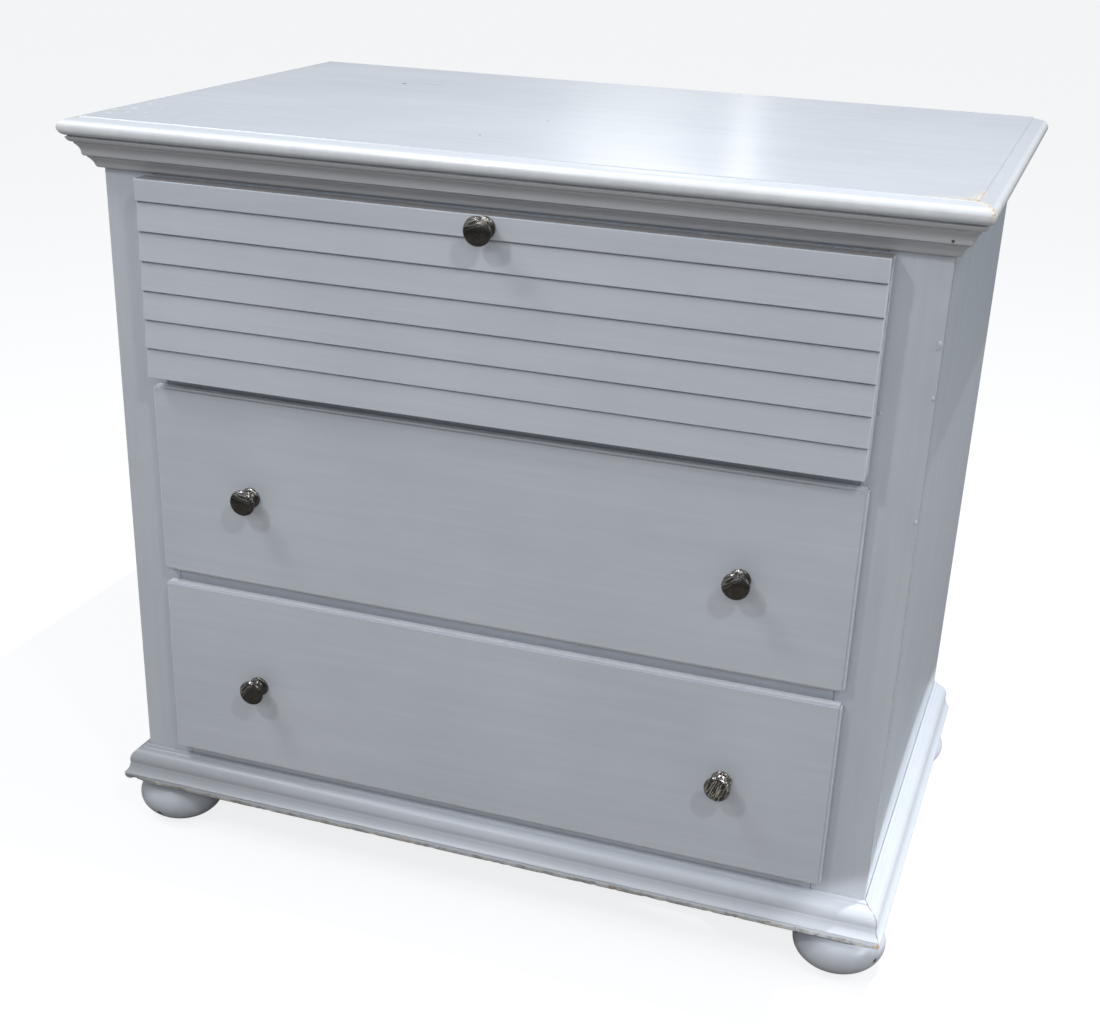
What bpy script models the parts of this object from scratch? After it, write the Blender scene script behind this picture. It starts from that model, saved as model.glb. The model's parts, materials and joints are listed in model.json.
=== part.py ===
"""Painted chest with a louvred fall front over two drawers, standing on bun feet.

Units are metres, +Z is up and the front faces -Y.  The origin is on the floor,
under the centre of the whole chest with its knobs.  The helper Y() measures
depth back from the front plane of the face frame.
"""
import math

import bmesh
import bpy
from mathutils import Matrix, Vector

MM = 0.001
GAP = 0.3 * MM                      # kept between pieces that touch

# ---- carcass -------------------------------------------------------------
BODY_HALF = 450 * MM                # outer faces of the sides
BODY_DEPTH = 575 * MM               # face frame front to back edge
FOOT_TOP = 60.4 * MM
BODY_BOTTOM = 61 * MM
TOP_UNDER = 847 * MM                # underside of the top board
TOP_LEVEL = 866.4 * MM
BOARD = 18 * MM                     # side boards
FRAME_THICK = 20 * MM               # stiles and rails
STILE_WIDTH = 61 * MM
BACK_THICK = 6 * MM
RABBET = 8 * MM
THIN_BOARD = 12 * MM                # shelf, liners, drawer boxes

# ---- fronts --------------------------------------------------------------
FLAP_HALF = 396.8 * MM
FLAP_BOTTOM = 594.5 * MM
FLAP_TOP = 811.3 * MM
FLAP_FACE = 29 * MM                 # proud of the face frame
FLAP_CLEAR = 3.3 * MM               # flap back to face frame
SLAT_PITCH = 31.8 * MM
SLAT_COUNT = 7
FIRST_LIP = 786.7 * MM              # lower edge of the top slat
LIP = 2.2 * MM                      # how far a slat stands over the next one
DRAWER_HALF = 400.6 * MM
DRAWER_FACE = 14.3 * MM
DRAWER_HEIGHT = 222.5 * MM
DRAWER_BOTTOMS = {"upper": 358.5 * MM, "lower": 120 * MM}
OVERLAP = 11 * MM                   # a drawer front over its rails
FRONT_ROUND = 2.6 * MM
OPENING_HALF = BODY_HALF - STILE_WIDTH
COMPARTMENT_FLOOR = 608.5 * MM
COMPARTMENT_TOP = 799.5 * MM

# ---- knobs ---------------------------------------------------------------
KNOB_RADIUS = 15 * MM
KNOB_BASE_RADIUS = 11.6 * MM
KNOB_REACH = 26 * MM
KNOB_SPREAD = 282 * MM
FLAP_KNOB_Z = 798.3 * MM
KNOB_DROP = 3.5 * MM                # drawer knobs below the middle of the front
SCREW_BITE = 10 * MM                # length of screw inside a knob

# ---- drawer boxes --------------------------------------------------------
BOX_CLEAR = 3 * MM                  # box to the edge of its opening
BOX_HEIGHT = 180 * MM
BOX_END = 508 * MM                  # back of the box, behind the frame front
FRONT_PLUG = 8 * MM                 # step on the back of a front, inside the opening
BOX_FLOOR_LIFT = 10 * MM
BOX_FLOOR_THICK = 6 * MM
RUNNER_LIP = 24 * MM                # how far a runner reaches under the box
RUNNER_END = 545 * MM

# ---- flap hardware -------------------------------------------------------
AXIS_DEPTH = -14 * MM               # hinge axis, measured from the frame front
AXIS_Z = FLAP_BOTTOM + 3.5 * MM
HINGE_X = 270 * MM
POCKET_HALF = 28 * MM               # hinge pocket in the back of the flap
POCKET_DEPTH = 20 * MM
POCKET_TOP = AXIS_Z + 7 * MM
PIN_RADIUS = 1.8 * MM
LEAF_THICK = 1.8 * MM
STAY_RADIUS = 130 * MM              # flap pivot and stud both lie on this circle
STAY_PIVOT_ANGLE = math.radians(8.4)
STAY_STUD_ANGLE = math.radians(30)
STAY_TRAVEL = math.radians(90)
STAY_X = 383 * MM
STAY_HALF_WIDTH = 5.6 * MM
STAY_SLOT = 2.8 * MM                # half the width of its slot
STAY_THICK = 2.4 * MM
CATCH_X = 120 * MM

# ---- feet ----------------------------------------------------------------
FOOT_RADIUS = 52.4 * MM
FOOT_HALF_HEIGHT = 33.8 * MM
FOOT_CENTRE_Z = 31.6 * MM
FOOT_X = 424.5 * MM
FOOT_INSET = 27.5 * MM
REAR_FOOT_INSET = 54 * MM           # keeps the rear feet clear of a wall

FRAME_FRONT = (FLAP_FACE + GAP + KNOB_REACH - BODY_DEPTH) / 2


def Y(depth):
    """World Y of a point this far behind the front plane of the face frame."""
    return FRAME_FRONT + depth


# ---- scene and materials -------------------------------------------------
def clear_scene():
    for thing in list(bpy.data.objects):
        bpy.data.objects.remove(thing, do_unlink=True)


def make_material(name, colour, roughness, metallic=0.0):
    material = bpy.data.materials.new(name)
    material.use_nodes = True
    shader = material.node_tree.nodes["Principled BSDF"]
    shader.inputs["Base Color"].default_value = (*colour, 1)
    shader.inputs["Roughness"].default_value = roughness
    shader.inputs["Metallic"].default_value = metallic
    return material


clear_scene()
PAINT = make_material("painted_wood", (0.42, 0.45, 0.49), 0.42)
BARE_WOOD = make_material("bare_wood", (0.55, 0.40, 0.25), 0.65)
PEWTER = make_material("pewter", (0.13, 0.125, 0.12), 0.30, 1.0)
STEEL = make_material("steel", (0.55, 0.55, 0.54), 0.35, 1.0)


# ---- building blocks -----------------------------------------------------
def make_empty(name, location, parent=None):
    empty = bpy.data.objects.new(name, None)
    empty.empty_display_size = 0.05
    empty.parent = parent
    offset = parent.matrix_world.translation if parent else Vector()
    empty.location = Vector(location) - offset
    bpy.context.collection.objects.link(empty)
    bpy.context.view_layer.update()
    return empty


def finish_object(name, mesh_maker, material, parent=None, smooth=None):
    """Turn a bmesh in world space into an object that hangs under its parent."""
    pivot = parent.matrix_world.translation if parent else Vector()
    bmesh.ops.translate(mesh_maker, verts=mesh_maker.verts, vec=-pivot)
    bmesh.ops.recalc_face_normals(mesh_maker, faces=mesh_maker.faces)
    mesh = bpy.data.meshes.new(name)
    mesh_maker.to_mesh(mesh)
    mesh_maker.free()
    mesh.materials.append(material)
    if smooth is not None:
        mesh.shade_smooth()
        mesh.set_sharp_from_angle(angle=math.radians(smooth))
    thing = bpy.data.objects.new(name, mesh)
    thing.parent = parent
    bpy.context.collection.objects.link(thing)
    bpy.context.view_layer.update()
    return thing


def block(x_range, y_range, z_range):
    """A bmesh box between the given limits."""
    box = bmesh.new()
    bmesh.ops.create_cube(box, size=1.0)
    limits = (x_range, y_range, z_range)
    for vert in box.verts:
        vert.co = [a + (b - a) * (c + 0.5) for (a, b), c in zip(limits, vert.co)]
    return box


def board(name, x_range, y_range, z_range, material, parent=None):
    return finish_object(name, block(x_range, y_range, z_range), material, parent)


def mirrored(x_range, side):
    return tuple(sorted(side * x for x in x_range))


def about(centre, reach):
    """The range that reaches equally to both sides of a centre."""
    return (centre - reach, centre + reach)


def sweep(rings):
    """Skin a list of equal closed rings of points, and cap the first and last."""
    skin = bmesh.new()
    loops = [[skin.verts.new(point) for point in ring] for ring in rings]
    count = len(rings[0])
    for ring, following in zip(loops, loops[1:]):
        for i in range(count):
            j = (i + 1) % count
            skin.faces.new((ring[i], ring[j], following[j], following[i]))
    skin.faces.new(reversed(loops[0]))
    skin.faces.new(loops[-1])
    return skin


def turned(profile, segments):
    """Lathe a list of (radius, height) points about Z; both ends meet the axis."""
    turning = bmesh.new()
    rings = []
    for radius, height in profile:
        if radius == 0:
            rings.append([turning.verts.new((0, 0, height))])
            continue
        angles = [2 * math.pi * k / segments for k in range(segments)]
        points = [(radius * math.cos(a), radius * math.sin(a), height) for a in angles]
        rings.append([turning.verts.new(point) for point in points])
    for lower, upper in zip(rings, rings[1:]):
        for i in range(segments):
            j = (i + 1) % segments
            corners = [lower[i % len(lower)], lower[j % len(lower)],
                       upper[j % len(upper)], upper[i % len(upper)]]
            turning.faces.new(list(dict.fromkeys(corners)))
    return turning


def arc(centre, radius, start, end, steps):
    """Points of an arc in degrees, as (across, up) pairs."""
    points = []
    for k in range(steps + 1):
        angle = math.radians(start + (end - start) * k / steps)
        points.append((centre[0] + radius * math.cos(angle),
                       centre[1] + radius * math.sin(angle)))
    return points


def place(shape, matrix):
    bmesh.ops.transform(shape, matrix=matrix, verts=shape.verts)
    return shape


def rod(radius, x_range, y, z, segments=16):
    """A round bar along X."""
    length = x_range[1] - x_range[0]
    profile = [(0, 0), (radius, 0), (radius, length), (0, length)]
    turn = Matrix.Rotation(math.radians(90), 4, "Y")
    return place(turned(profile, segments), Matrix.Translation((x_range[0], y, z)) @ turn)


def combine(operation, pieces):
    """Exact Boolean of bmeshes, the first being the base; returns a new bmesh."""
    objects = [finish_object(f"stock_{number}", piece, STEEL)
               for number, piece in enumerate(pieces)]
    base = objects[0]
    for other in objects[1:]:
        modifier = base.modifiers.new("step", "BOOLEAN")
        modifier.operation = operation
        modifier.solver = "EXACT"
        modifier.object = other
    bpy.context.view_layer.update()
    evaluated = base.evaluated_get(bpy.context.evaluated_depsgraph_get())
    result = bmesh.new()
    result.from_mesh(evaluated.to_mesh())
    evaluated.to_mesh_clear()
    for thing in objects:
        bpy.data.objects.remove(thing, do_unlink=True)
    return result


def edges_on_plane(shape, axis, level, edges=None):
    """Edges of a bmesh, or of a list of its edges, that lie on an axis plane."""
    return [edge for edge in edges or shape.edges
            if all(abs(vert.co[axis] - level) < 1e-6 for vert in edge.verts)]


# ---- profiles, as (projection from the body, height) ---------------------
def top_edge_profile():
    """Thumbnail edge of the top board: a fine step, a slope and a full nose."""
    nose = 8.2 * MM
    centre = (25.8 * MM, TOP_UNDER + nose)
    points = [(15.5 * MM, TOP_LEVEL), (16.0 * MM, TOP_LEVEL - 1.0 * MM)]
    slope_start = (16.2 * MM, TOP_LEVEL - 1.2 * MM)
    nose_start = arc(centre, nose, 62, 62, 1)[0]
    for k in range(4):
        t = k / 4
        across = slope_start[0] + (nose_start[0] - slope_start[0]) * t
        crown = 0.35 * MM * math.sin(math.pi * t)
        up = slope_start[1] + (nose_start[1] - slope_start[1]) * t + crown
        points.append((across, up))
    points += arc(centre, nose, 62, -72, 9)
    points.append((26 * MM, TOP_UNDER))
    return points


def crown_profile():
    """Bed moulding under the top: fillet, deep cove, step and a second cove."""
    high = TOP_UNDER - GAP
    points = [(GAP, high), (28 * MM, high), (28 * MM, 842.6 * MM)]
    points += [(27.0 * MM, 841.2 * MM), (25.0 * MM, 840.4 * MM), (21.4 * MM, 839.8 * MM)]
    points += arc((28.6 * MM, 828.4 * MM), 12 * MM, 126, 178, 5)
    points += [(16.2 * MM, 826.4 * MM), (14.6 * MM, 825.2 * MM), (12.2 * MM, 824.6 * MM)]
    points += arc((21.8 * MM, 811.2 * MM), 15.5 * MM, 127, 166, 4)
    points += [(5.9 * MM, 813.4 * MM), (4.6 * MM, 812.6 * MM), (GAP, 812.5 * MM)]
    return points


def base_profile():
    """Base moulding: ledge, ovolo, step, and a cove that flares to a thick lip."""
    points = [(GAP, 107 * MM), (4.6 * MM, 105.2 * MM), (5.2 * MM, 103 * MM)]
    points += arc((4.2 * MM, 87.6 * MM), 14.6 * MM, 82, -8, 7)
    points += [(18.6 * MM, 84.0 * MM)]
    points += arc((33.5 * MM, 83.2 * MM), 14.6 * MM, 184, 246, 4)[:3]
    points += [(23.2 * MM, 71.4 * MM), (24.6 * MM, 69.0 * MM), (25.0 * MM, 66.6 * MM)]
    points += [(24.6 * MM, 63.0 * MM), (22.4 * MM, 60.8 * MM), (GAP, 60.6 * MM)]
    return points


def flap_outline():
    """Side view of the flap, as (depth, height), from the top back corner."""
    back = -FLAP_CLEAR
    soft = 1.0 * MM
    points = [(back, FLAP_BOTTOM), (back, FLAP_TOP)]
    points += [(-FLAP_FACE + soft, FLAP_TOP), (-FLAP_FACE, FLAP_TOP - soft)]
    for slat in range(SLAT_COUNT - 1):
        lip = FIRST_LIP - slat * SLAT_PITCH
        points += [(-FLAP_FACE, lip + 0.8 * MM), (-FLAP_FACE + 0.8 * MM, lip)]
        points += [(-FLAP_FACE + LIP + 0.8 * MM, lip), (-FLAP_FACE + LIP, lip - 0.8 * MM)]
    points += [(-FLAP_FACE, FLAP_BOTTOM + soft), (-FLAP_FACE + soft, FLAP_BOTTOM)]
    return points


# ---- carcass pieces ------------------------------------------------------
def build_top():
    rings = []
    for reach, height in top_edge_profile():
        half = BODY_HALF + reach
        rings.append([(-half, Y(-reach), height), (half, Y(-reach), height),
                      (half, Y(BODY_DEPTH), height), (-half, Y(BODY_DEPTH), height)])
    finish_object("top_panel", sweep(rings), PAINT, smooth=25)


def build_moulding(name, profile, mitre_gap=0.2 * MM):
    """Front and two side lengths of one moulding, mitred at the front corners."""
    ends = []
    for side in (-1, 1):
        ends.append([(side * (BODY_HALF + p - mitre_gap), Y(-p), z) for p, z in profile])
    finish_object(f"{name}_front", sweep(ends), PAINT, smooth=30)
    for side, word in ((-1, "left"), (1, "right")):
        fore = [(side * (BODY_HALF + p), Y(-p + mitre_gap), z) for p, z in profile]
        aft = [(side * (BODY_HALF + p), Y(BODY_DEPTH), z) for p, z in profile]
        finish_object(f"{name}_{word}", sweep([fore, aft]), PAINT, smooth=30)


def build_stile(word, side):
    stile = block(mirrored((OPENING_HALF, BODY_HALF), side), (Y(0), Y(FRAME_THICK)),
                  (BODY_BOTTOM, TOP_UNDER - GAP))
    corner = edges_on_plane(stile, 1, Y(0), edges_on_plane(stile, 0, side * BODY_HALF))
    bmesh.ops.bevel(stile, geom=corner, offset=1.6 * MM, segments=3, affect="EDGES")
    finish_object(f"stile_{word}", stile, PAINT, smooth=40)


def build_side(word, side):
    """Side board with a rabbet along its back edge for the back panel."""
    inner = BODY_HALF - BOARD
    outline = [(BODY_HALF, FRAME_THICK + GAP), (BODY_HALF, BODY_DEPTH),
               (inner + RABBET, BODY_DEPTH),
               (inner + RABBET, BODY_DEPTH - BACK_THICK - GAP * 2),
               (inner, BODY_DEPTH - BACK_THICK - GAP * 2), (inner, FRAME_THICK + GAP)]
    rings = [[(side * x, Y(depth), z) for x, depth in outline]
             for z in (BODY_BOTTOM, TOP_UNDER - GAP)]
    finish_object(f"side_{word}", sweep(rings), PAINT)


def build_rails():
    width = (-OPENING_HALF + GAP, OPENING_HALF - GAP)
    depth = (Y(0.15 * MM), Y(FRAME_THICK))
    upper_floor = DRAWER_BOTTOMS["upper"] + OVERLAP
    lower_floor = DRAWER_BOTTOMS["lower"] + OVERLAP
    upper_ceiling = DRAWER_BOTTOMS["upper"] + DRAWER_HEIGHT - OVERLAP
    lower_ceiling = DRAWER_BOTTOMS["lower"] + DRAWER_HEIGHT - OVERLAP
    levels = {"rail_top": (COMPARTMENT_TOP, TOP_UNDER - GAP),
              "rail_upper": (upper_ceiling, COMPARTMENT_FLOOR),
              "rail_middle": (lower_ceiling, upper_floor),
              "rail_bottom": (BODY_BOTTOM, lower_floor)}
    for name, height in levels.items():
        board(name, width, depth, height, PAINT)


def build_inside():
    inner = BODY_HALF - BOARD - GAP
    front = Y(FRAME_THICK + GAP)
    back = Y(BODY_DEPTH - BACK_THICK - GAP * 3)
    board("back_panel", (-inner - RABBET + GAP, inner + RABBET - GAP),
          (Y(BODY_DEPTH - BACK_THICK - GAP), Y(BODY_DEPTH - GAP)),
          (BODY_BOTTOM, TOP_UNDER - GAP), BARE_WOOD)
    board("compartment_floor", (-inner, inner), (front, back),
          (COMPARTMENT_FLOOR - THIN_BOARD, COMPARTMENT_FLOOR), PAINT)
    board("bottom_panel", (-inner, inner), (front, back),
          (BODY_BOTTOM, BODY_BOTTOM + BOARD), BARE_WOOD)
    for side, word in ((-1, "left"), (1, "right")):
        liner = mirrored((OPENING_HALF + GAP, OPENING_HALF + THIN_BOARD), side)
        board(f"liner_{word}", liner, (front, back),
              (COMPARTMENT_FLOOR + GAP, TOP_UNDER - GAP), PAINT)


def build_runner(name, side, top):
    """Hardwood L: its foot carries the drawer side, its upright guides it."""
    wall = BODY_HALF - BOARD - GAP
    lip = OPENING_HALF - RUNNER_LIP
    outline = [(wall, top - 20 * MM), (wall, top + 28 * MM), (OPENING_HALF, top + 28 * MM),
               (OPENING_HALF, top), (lip, top), (lip, top - 20 * MM)]
    rings = [[(side * x, Y(depth), z) for x, z in outline]
             for depth in (FRAME_THICK + GAP, RUNNER_END)]
    finish_object(name, sweep(rings), BARE_WOOD)


def build_foot(name, x, depth):
    """Bun foot: a squashed ball, cut flat where it stands and where it is fixed."""
    low = math.asin(-FOOT_CENTRE_Z / FOOT_HALF_HEIGHT)
    high = math.asin((FOOT_TOP - FOOT_CENTRE_Z) / FOOT_HALF_HEIGHT)
    steps = 11
    profile = [(0, 0)]
    for k in range(steps + 1):
        angle = low + (high - low) * k / steps
        profile.append((FOOT_RADIUS * math.cos(angle),
                        FOOT_CENTRE_Z + FOOT_HALF_HEIGHT * math.sin(angle)))
    profile.append((0, FOOT_TOP))
    bun = place(turned(profile, 36), Matrix.Translation((x, Y(depth), 0)))
    finish_object(name, bun, PAINT, smooth=35)


def build_carcass():
    build_top()
    build_moulding("crown", crown_profile())
    build_moulding("base_moulding", base_profile())
    build_rails()
    build_inside()
    for side, word in ((-1, "left"), (1, "right")):
        build_stile(word, side)
        build_side(word, side)
        for level, bottom in DRAWER_BOTTOMS.items():
            build_runner(f"runner_{level}_{word}", side, bottom + OVERLAP)
        build_foot(f"foot_front_{word}", side * FOOT_X, FOOT_INSET)
        build_foot(f"foot_rear_{word}", side * FOOT_X, BODY_DEPTH - REAR_FOOT_INSET)


# ---- knobs and their screws ----------------------------------------------
def knob_profile():
    """Mushroom knob with a wide foot, as (radius, reach), bored for its screw."""
    bore = 2.3 * MM
    depth = 13 * MM
    points = [(0, depth), (bore, depth), (bore, 0), (KNOB_BASE_RADIUS - 0.6 * MM, 0)]
    points += [(KNOB_BASE_RADIUS, 0.6 * MM), (KNOB_BASE_RADIUS, 2.0 * MM)]
    points += [(10.2 * MM, 3.0 * MM), (7.4 * MM, 4.6 * MM), (5.6 * MM, 7.2 * MM)]
    points += [(5.2 * MM, 10.4 * MM), (6.6 * MM, 13.6 * MM), (10.2 * MM, 16.0 * MM)]
    points += [(13.6 * MM, 17.8 * MM), (KNOB_RADIUS, 19.6 * MM), (14.8 * MM, 21.2 * MM)]
    points += [(12.6 * MM, 23.4 * MM), (8.6 * MM, 25.1 * MM), (4.4 * MM, 25.8 * MM)]
    points.append((0, KNOB_REACH))
    return points


def screw_profile(length):
    """Pan head machine screw, as (radius, reach) from under its head."""
    head = 4.2 * MM
    return [(0, -2.4 * MM), (head * 0.7, -2.2 * MM), (head, -1.2 * MM), (head, 0),
            (2 * MM, 0), (2 * MM, length), (0, length)]


def facing_front(x, face_y, z):
    """Maps lathe height to a reach out of the front, from the given face."""
    return Matrix.Translation((x, face_y, z)) @ Matrix.Rotation(math.radians(90), 4, "X")


def build_knob(name, x, face, z, parent):
    knob = place(turned(knob_profile(), 28), facing_front(x, Y(-face) - GAP, z))
    finish_object(name, knob, PEWTER, parent, smooth=38)


def build_screw(name, x, inner_depth, reach, z, parent):
    screw = place(turned(screw_profile(reach), 12), facing_front(x, Y(inner_depth) + GAP, z))
    finish_object(name, screw, STEEL, parent, smooth=38)


def bore(x, z, depth_range, radius=2.5 * MM):
    """Clearance hole for a knob screw, as a cutter along Y."""
    length = depth_range[1] - depth_range[0]
    profile = [(0, 0), (radius, 0), (radius, length), (0, length)]
    return place(turned(profile, 12), facing_front(x, Y(depth_range[1]), z))


# ---- drawers -------------------------------------------------------------
def build_drawer_front(level, bottom, knob_z, pivot):
    """Overlay front with rounded edges and a step that fits inside the opening."""
    top = bottom + DRAWER_HEIGHT
    tongue_half = OPENING_HALF - BOX_CLEAR
    slab = block((-DRAWER_HALF, DRAWER_HALF), (Y(-DRAWER_FACE), Y(-GAP)), (bottom, top))
    rim = edges_on_plane(slab, 1, Y(-DRAWER_FACE))
    bmesh.ops.bevel(slab, geom=rim, offset=FRONT_ROUND, segments=4, affect="EDGES")
    tongue = block((-tongue_half, tongue_half), (Y(-1 * MM), Y(FRONT_PLUG)),
                   (bottom + OVERLAP + 1 * MM, top - OVERLAP - BOX_CLEAR))
    blank = combine("UNION", [slab, tongue])
    through = (-DRAWER_FACE - 1 * MM, FRONT_PLUG + 1 * MM)
    bores = [bore(side * KNOB_SPREAD, knob_z, through) for side in (-1, 1)]
    front = combine("DIFFERENCE", [blank, *bores])
    finish_object(f"drawer_{level}_front", front, PAINT, pivot, smooth=40)


def build_drawer(level, bottom):
    name = f"drawer_{level}"
    floor = bottom + OVERLAP + GAP
    rim_z = floor + BOX_HEIGHT
    knob_z = bottom + DRAWER_HEIGHT / 2 - KNOB_DROP
    pivot = make_empty(f"{name}_slide", (0, Y(-DRAWER_FACE), bottom + OVERLAP))
    build_drawer_front(level, bottom, knob_z, pivot)

    outer = OPENING_HALF - BOX_CLEAR
    inner = outer - THIN_BOARD
    start = FRONT_PLUG + GAP
    screw_reach = FRONT_PLUG + DRAWER_FACE + SCREW_BITE
    for side, word in ((-1, "left"), (1, "right")):
        board(f"{name}_side_{word}", mirrored((inner, outer), side), (Y(start), Y(BOX_END)),
              (floor, rim_z), BARE_WOOD, pivot)
        build_knob(f"{name}_knob_{word}", side * KNOB_SPREAD, DRAWER_FACE, knob_z, pivot)
        build_screw(f"{name}_screw_{word}", side * KNOB_SPREAD, FRONT_PLUG, screw_reach,
                    knob_z, pivot)
    between = (-inner + GAP, inner - GAP)
    panel = (floor + BOX_FLOOR_LIFT, floor + BOX_FLOOR_LIFT + BOX_FLOOR_THICK)
    board(f"{name}_back", between, (Y(BOX_END - THIN_BOARD), Y(BOX_END)),
          (panel[1] + GAP, rim_z), BARE_WOOD, pivot)
    board(f"{name}_bottom", between, (Y(start), Y(BOX_END)), panel, BARE_WOOD, pivot)


# ---- flap, hinges, stay and catch ----------------------------------------
def build_flap_panel(pivot):
    rings = [[(x, Y(depth), z) for depth, z in flap_outline()]
             for x in (-FLAP_HALF, FLAP_HALF)]
    cutters = [bore(0, FLAP_KNOB_Z, (-FLAP_FACE - 1 * MM, 0))]
    for side in (-1, 1):
        pocket = mirrored((HINGE_X - POCKET_HALF, HINGE_X + POCKET_HALF), side)
        cutters.append(block(pocket, (Y(-POCKET_DEPTH), Y(0)), (FLAP_BOTTOM - 1 * MM, POCKET_TOP)))
    panel = combine("DIFFERENCE", [sweep(rings), *cutters])
    finish_object("flap_panel", panel, PAINT, pivot, smooth=20)


def build_hinge(word, side, pivot):
    """Offset pivot hinge, hidden in a pocket low in the back of the flap."""
    middle = side * HINGE_X
    axis_y = Y(AXIS_DEPTH)
    plate = block(about(middle, 24 * MM), (Y(-2.3 * MM), Y(-GAP)),
                  (AXIS_Z - 2 * MM, COMPARTMENT_FLOOR - 1 * MM))
    lug = block(about(middle, 7 * MM), (axis_y, Y(-1.2 * MM)), about(AXIS_Z, PIN_RADIUS))
    barrel = rod(3.1 * MM, about(middle, 7.5 * MM), axis_y, AXIS_Z)
    pin = rod(PIN_RADIUS, about(middle, 16 * MM), axis_y, AXIS_Z)
    bracket = combine("UNION", [plate, lug, barrel, pin])
    finish_object(f"hinge_{word}_bracket", bracket, STEEL, smooth=35)

    leaf_top = POCKET_TOP - GAP
    leaf = block(about(middle, 26 * MM), (Y(-POCKET_DEPTH + GAP), Y(-4 * MM)),
                 (leaf_top - LEAF_THICK, leaf_top))
    cheeks = [block(about(middle + offset, 2.5 * MM), about(axis_y, 4.5 * MM),
                    (AXIS_Z - 3.2 * MM, leaf_top - 1 * MM)) for offset in (-11 * MM, 11 * MM)]
    eye = rod(PIN_RADIUS + 0.4 * MM, about(middle, 20 * MM), axis_y, AXIS_Z)
    drilled = combine("DIFFERENCE", [combine("UNION", [leaf, *cheeks]), eye])
    finish_object(f"hinge_{word}_leaf", drilled, STEEL, pivot, smooth=35)


def on_stay_circle(angle):
    """Point of the stay circle, as (depth, height); zero is above the hinge axis."""
    return (AXIS_DEPTH + STAY_RADIUS * math.sin(angle),
            AXIS_Z + STAY_RADIUS * math.cos(angle))


def stay_reach(opened):
    """Distance from the flap pivot to the stud when the flap is open this far."""
    spread = STAY_STUD_ANGLE - STAY_PIVOT_ANGLE + opened
    return 2 * STAY_RADIUS * math.sin(spread / 2)


def capsule(length, half_width, steps=6):
    """Outline of a flat bar with round ends, from 0 to length along its axis."""
    return (arc((length, 0), half_width, -90, 90, steps)
            + arc((0, 0), half_width, 90, 270, steps))


def build_stay(flap_pivot):
    """Slotted stay: pinned to the flap, it slides over a stud and stops it open."""
    depth, height = on_stay_circle(STAY_PIVOT_ANGLE)
    stud_depth, stud_height = on_stay_circle(STAY_STUD_ANGLE)
    stay_pivot = make_empty("stay_pivot", (STAY_X, Y(depth), height), flap_pivot)
    slope = math.atan2(stud_height - height, stud_depth - depth)
    turn = Matrix.Translation((0, Y(depth), height)) @ Matrix.Rotation(slope, 4, "X")
    thick = about(STAY_X, STAY_THICK / 2)

    def bar(outline, x_range):
        rings = [[(x, along, up) for along, up in outline] for x in x_range]
        return place(sweep(rings), turn)

    longest = stay_reach(STAY_TRAVEL)
    shortest = stay_reach(0)
    arm = bar(capsule(longest + 4 * MM, STAY_HALF_WIDTH), thick)
    wide = about(STAY_X, STAY_THICK * 2)
    slot_outline = [(along + shortest, up)
                    for along, up in capsule(longest - shortest, STAY_SLOT)]
    eye = rod(2.4 * MM, wide, Y(depth), height, 12)
    slotted = combine("DIFFERENCE", [arm, bar(slot_outline, wide), eye])
    finish_object("stay_arm", slotted, STEEL, stay_pivot)

    foot = block((STAY_X - 12 * MM, STAY_X + 4.5 * MM), (Y(-FLAP_CLEAR + GAP), Y(-1.2 * MM)),
                 about(height, 13 * MM))
    ear = block((STAY_X - 4.6 * MM, STAY_X - 2.2 * MM), (Y(-2.2 * MM), Y(depth + 5 * MM)),
                about(height, 6 * MM))
    pin = rod(1.9 * MM, (STAY_X - 3 * MM, STAY_X + 2.6 * MM), Y(depth), height, 12)
    finish_object("stay_bracket", combine("UNION", [foot, ear, pin]), STEEL, flap_pivot)

    flange = rod(8 * MM, (STAY_X + 4 * MM, OPENING_HALF), Y(stud_depth), stud_height, 20)
    stem = rod(2.3 * MM, (STAY_X - 2.8 * MM, STAY_X + 5 * MM), Y(stud_depth), stud_height, 12)
    cap = rod(4.4 * MM, (STAY_X - 3.6 * MM, STAY_X - 2.0 * MM), Y(stud_depth), stud_height, 12)
    finish_object("stay_stud", combine("UNION", [flange, stem, cap]), STEEL, smooth=35)


def build_catch(flap_pivot):
    """Magnetic catch under the top rail and its strike plate on the flap."""
    middle_z = COMPARTMENT_TOP - 9 * MM
    board("catch_magnet", about(CATCH_X, 24 * MM), (Y(1 * MM), Y(19 * MM)),
          (middle_z - 6 * MM, COMPARTMENT_TOP - GAP), STEEL)
    board("catch_strike", about(CATCH_X, 20 * MM), (Y(-FLAP_CLEAR + GAP), Y(-1.4 * MM)),
          (middle_z - 10 * MM, middle_z + 4 * MM), STEEL, flap_pivot)


def build_flap():
    pivot = make_empty("flap_hinge", (0, Y(AXIS_DEPTH), AXIS_Z))
    build_flap_panel(pivot)
    build_knob("flap_knob", 0, FLAP_FACE, FLAP_KNOB_Z, pivot)
    build_screw("flap_screw", 0, -FLAP_CLEAR, FLAP_FACE - FLAP_CLEAR + SCREW_BITE,
                FLAP_KNOB_Z, pivot)
    for side, word in ((-1, "left"), (1, "right")):
        build_hinge(word, side, pivot)
    build_stay(pivot)
    build_catch(pivot)


build_carcass()
for drawer_level, drawer_bottom in DRAWER_BOTTOMS.items():
    build_drawer(drawer_level, drawer_bottom)
build_flap()
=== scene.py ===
"""Looks for the painted chest: fine shapes, paint, wood and metal round the CAD frame.

Metres, +Z up, the front faces -Y.  Each fine piece takes its place from the CAD node
that it stands for, and rides on that node's body.
"""
import json
import math

import bmesh
import bpy
from mathutils import Euler, Matrix, Vector, noise

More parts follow.
